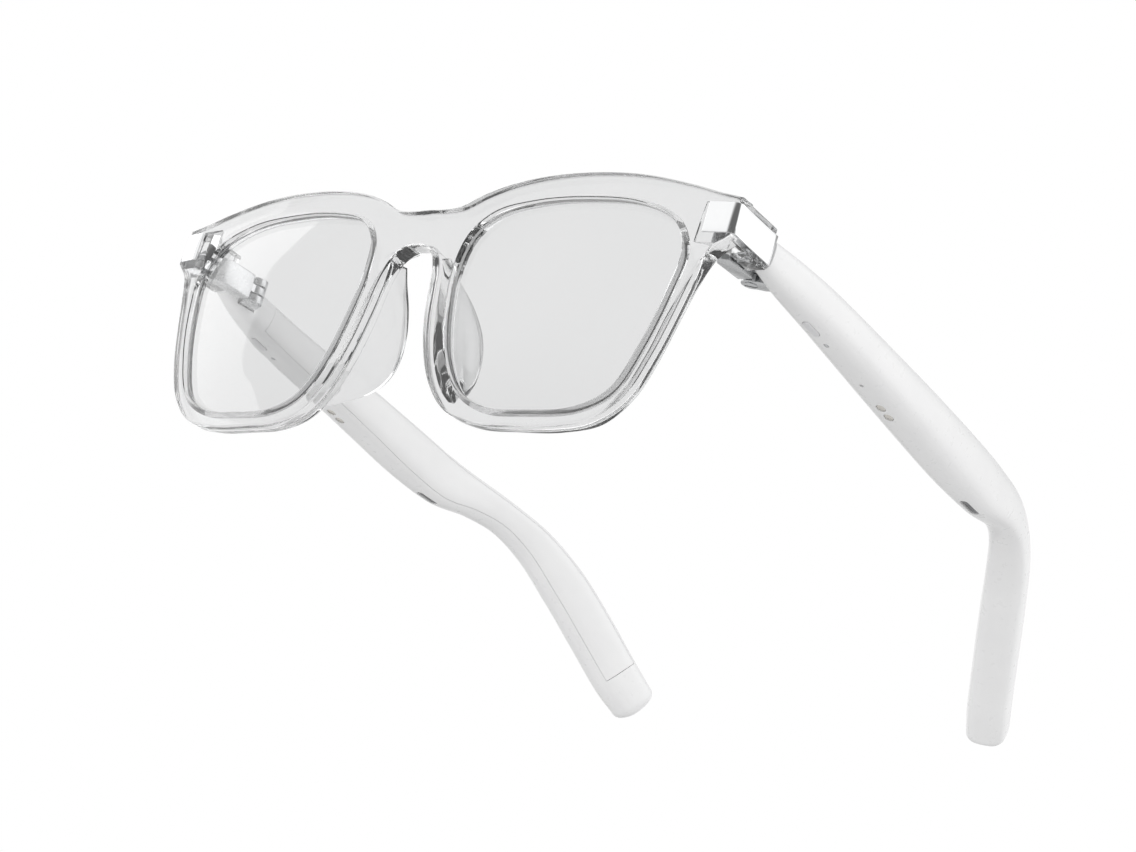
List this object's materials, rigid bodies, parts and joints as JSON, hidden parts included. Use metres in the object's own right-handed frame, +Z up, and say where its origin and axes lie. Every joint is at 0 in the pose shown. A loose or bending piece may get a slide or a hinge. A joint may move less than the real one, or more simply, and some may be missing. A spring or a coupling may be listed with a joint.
{
  "type": "smart glasses",
  "caption": "Glasses with a clear square front, tinted lenses, bright corner plates and folding white temples that hold a speaker, battery and button.",
  "frame": {"origin": "middle of the bottom of the object's box, on the surface that the rims and the temple tips stand on with the temples open", "axes": "+X to the wearer's left, +Y from the front back along the temples, +Z up"},
  "size_m": [0.1522, 0.1538, 0.0503],
  "materials": {
    "clear_acetate": "polished, crystal clear",
    "tinted_lens": "polished, light grey tint",
    "bright_plate": "mirror-polished plating",
    "hinge_metal": "satin",
    "white_shell": "satin-gloss moulded white",
    "white_cover": "satin-gloss moulded white",
    "grey_button": "fine satin",
    "light_guide": "translucent",
    "contact_gold": "polished plating",
    "mesh_steel": "fine woven mesh",
    "magnet": "nickel plated",
    "board_green": "solder mask",
    "chip_black": "moulded",
    "cell_foil": "pouch foil",
    "flex_amber": "polyimide film"
  },
  "bodies": {
    "front": {"front_frame": "clear_acetate", "left_lens": "tinted_lens", "right_lens": "tinted_lens", "left_nose_pad": "clear_acetate", "right_nose_pad": "clear_acetate", "left_end_plate": "bright_plate", "right_end_plate": "bright_plate", "left_front_hinge_leaf": "hinge_metal", "right_front_hinge_leaf": "hinge_metal", "left_upper_leaf_rivet": "hinge_metal", "right_upper_leaf_rivet": "hinge_metal", "left_lower_leaf_rivet": "hinge_metal", "right_lower_leaf_rivet": "hinge_metal", "left_hinge_screw": "hinge_metal", "right_hinge_screw": "hinge_metal"},
    "left_temple": {"left_temple_shell": "white_shell", "left_temple_cover": "white_cover", "left_temple_hinge_leaf": "hinge_metal", "left_button_switch": "chip_black", "left_status_light": "light_guide", "left_microphone": "magnet", "left_charge_contact_front": "contact_gold", "left_charge_contact_rear": "contact_gold", "left_charge_magnet": "magnet", "left_circuit_board": "board_green", "left_processor": "chip_black", "left_battery": "cell_foil", "left_speaker": "chip_black", "left_speaker_grille": "mesh_steel", "left_antenna": "flex_amber", "left_flex_cable": "flex_amber"},
    "right_temple": {"right_temple_shell": "white_shell", "right_temple_cover": "white_cover", "right_temple_hinge_leaf": "hinge_metal", "right_button_switch": "chip_black", "right_status_light": "light_guide", "right_microphone": "magnet", "right_charge_contact_front": "contact_gold", "right_charge_contact_rear": "contact_gold", "right_charge_magnet": "magnet", "right_circuit_board": "board_green", "right_processor": "chip_black", "right_battery": "cell_foil", "right_speaker": "chip_black", "right_speaker_grille": "mesh_steel", "right_antenna": "flex_amber", "right_flex_cable": "flex_amber"},
    "left_button": {"left_button": "grey_button"},
    "right_button": {"right_button": "grey_button"}
  },
  "joints": [
    {"name": "left_temple_fold", "type": "hinge", "parent": "front", "child": "left_temple", "pos_m": [0.0642, -0.05592, 0.0401], "axis": [0, -0.0555, 0.9985], "range_deg": [0, 85]},
    {"name": "right_temple_fold", "type": "hinge", "parent": "front", "child": "right_temple", "pos_m": [-0.0642, -0.05592, 0.0401], "axis": [0, 0.0555, -0.9985], "range_deg": [0, 72]},
    {"name": "left_button_press", "type": "slide", "parent": "left_temple", "child": "left_button", "axis": [0.0113, 0.1172, 0.993], "range_m": [0, 0.0004], "stiffness_N_per_m": 1000},
    {"name": "right_button_press", "type": "slide", "parent": "right_temple", "child": "right_button", "axis": [-0.0113, 0.1172, 0.993], "range_m": [0, 0.0004], "stiffness_N_per_m": 1000}
  ]
}
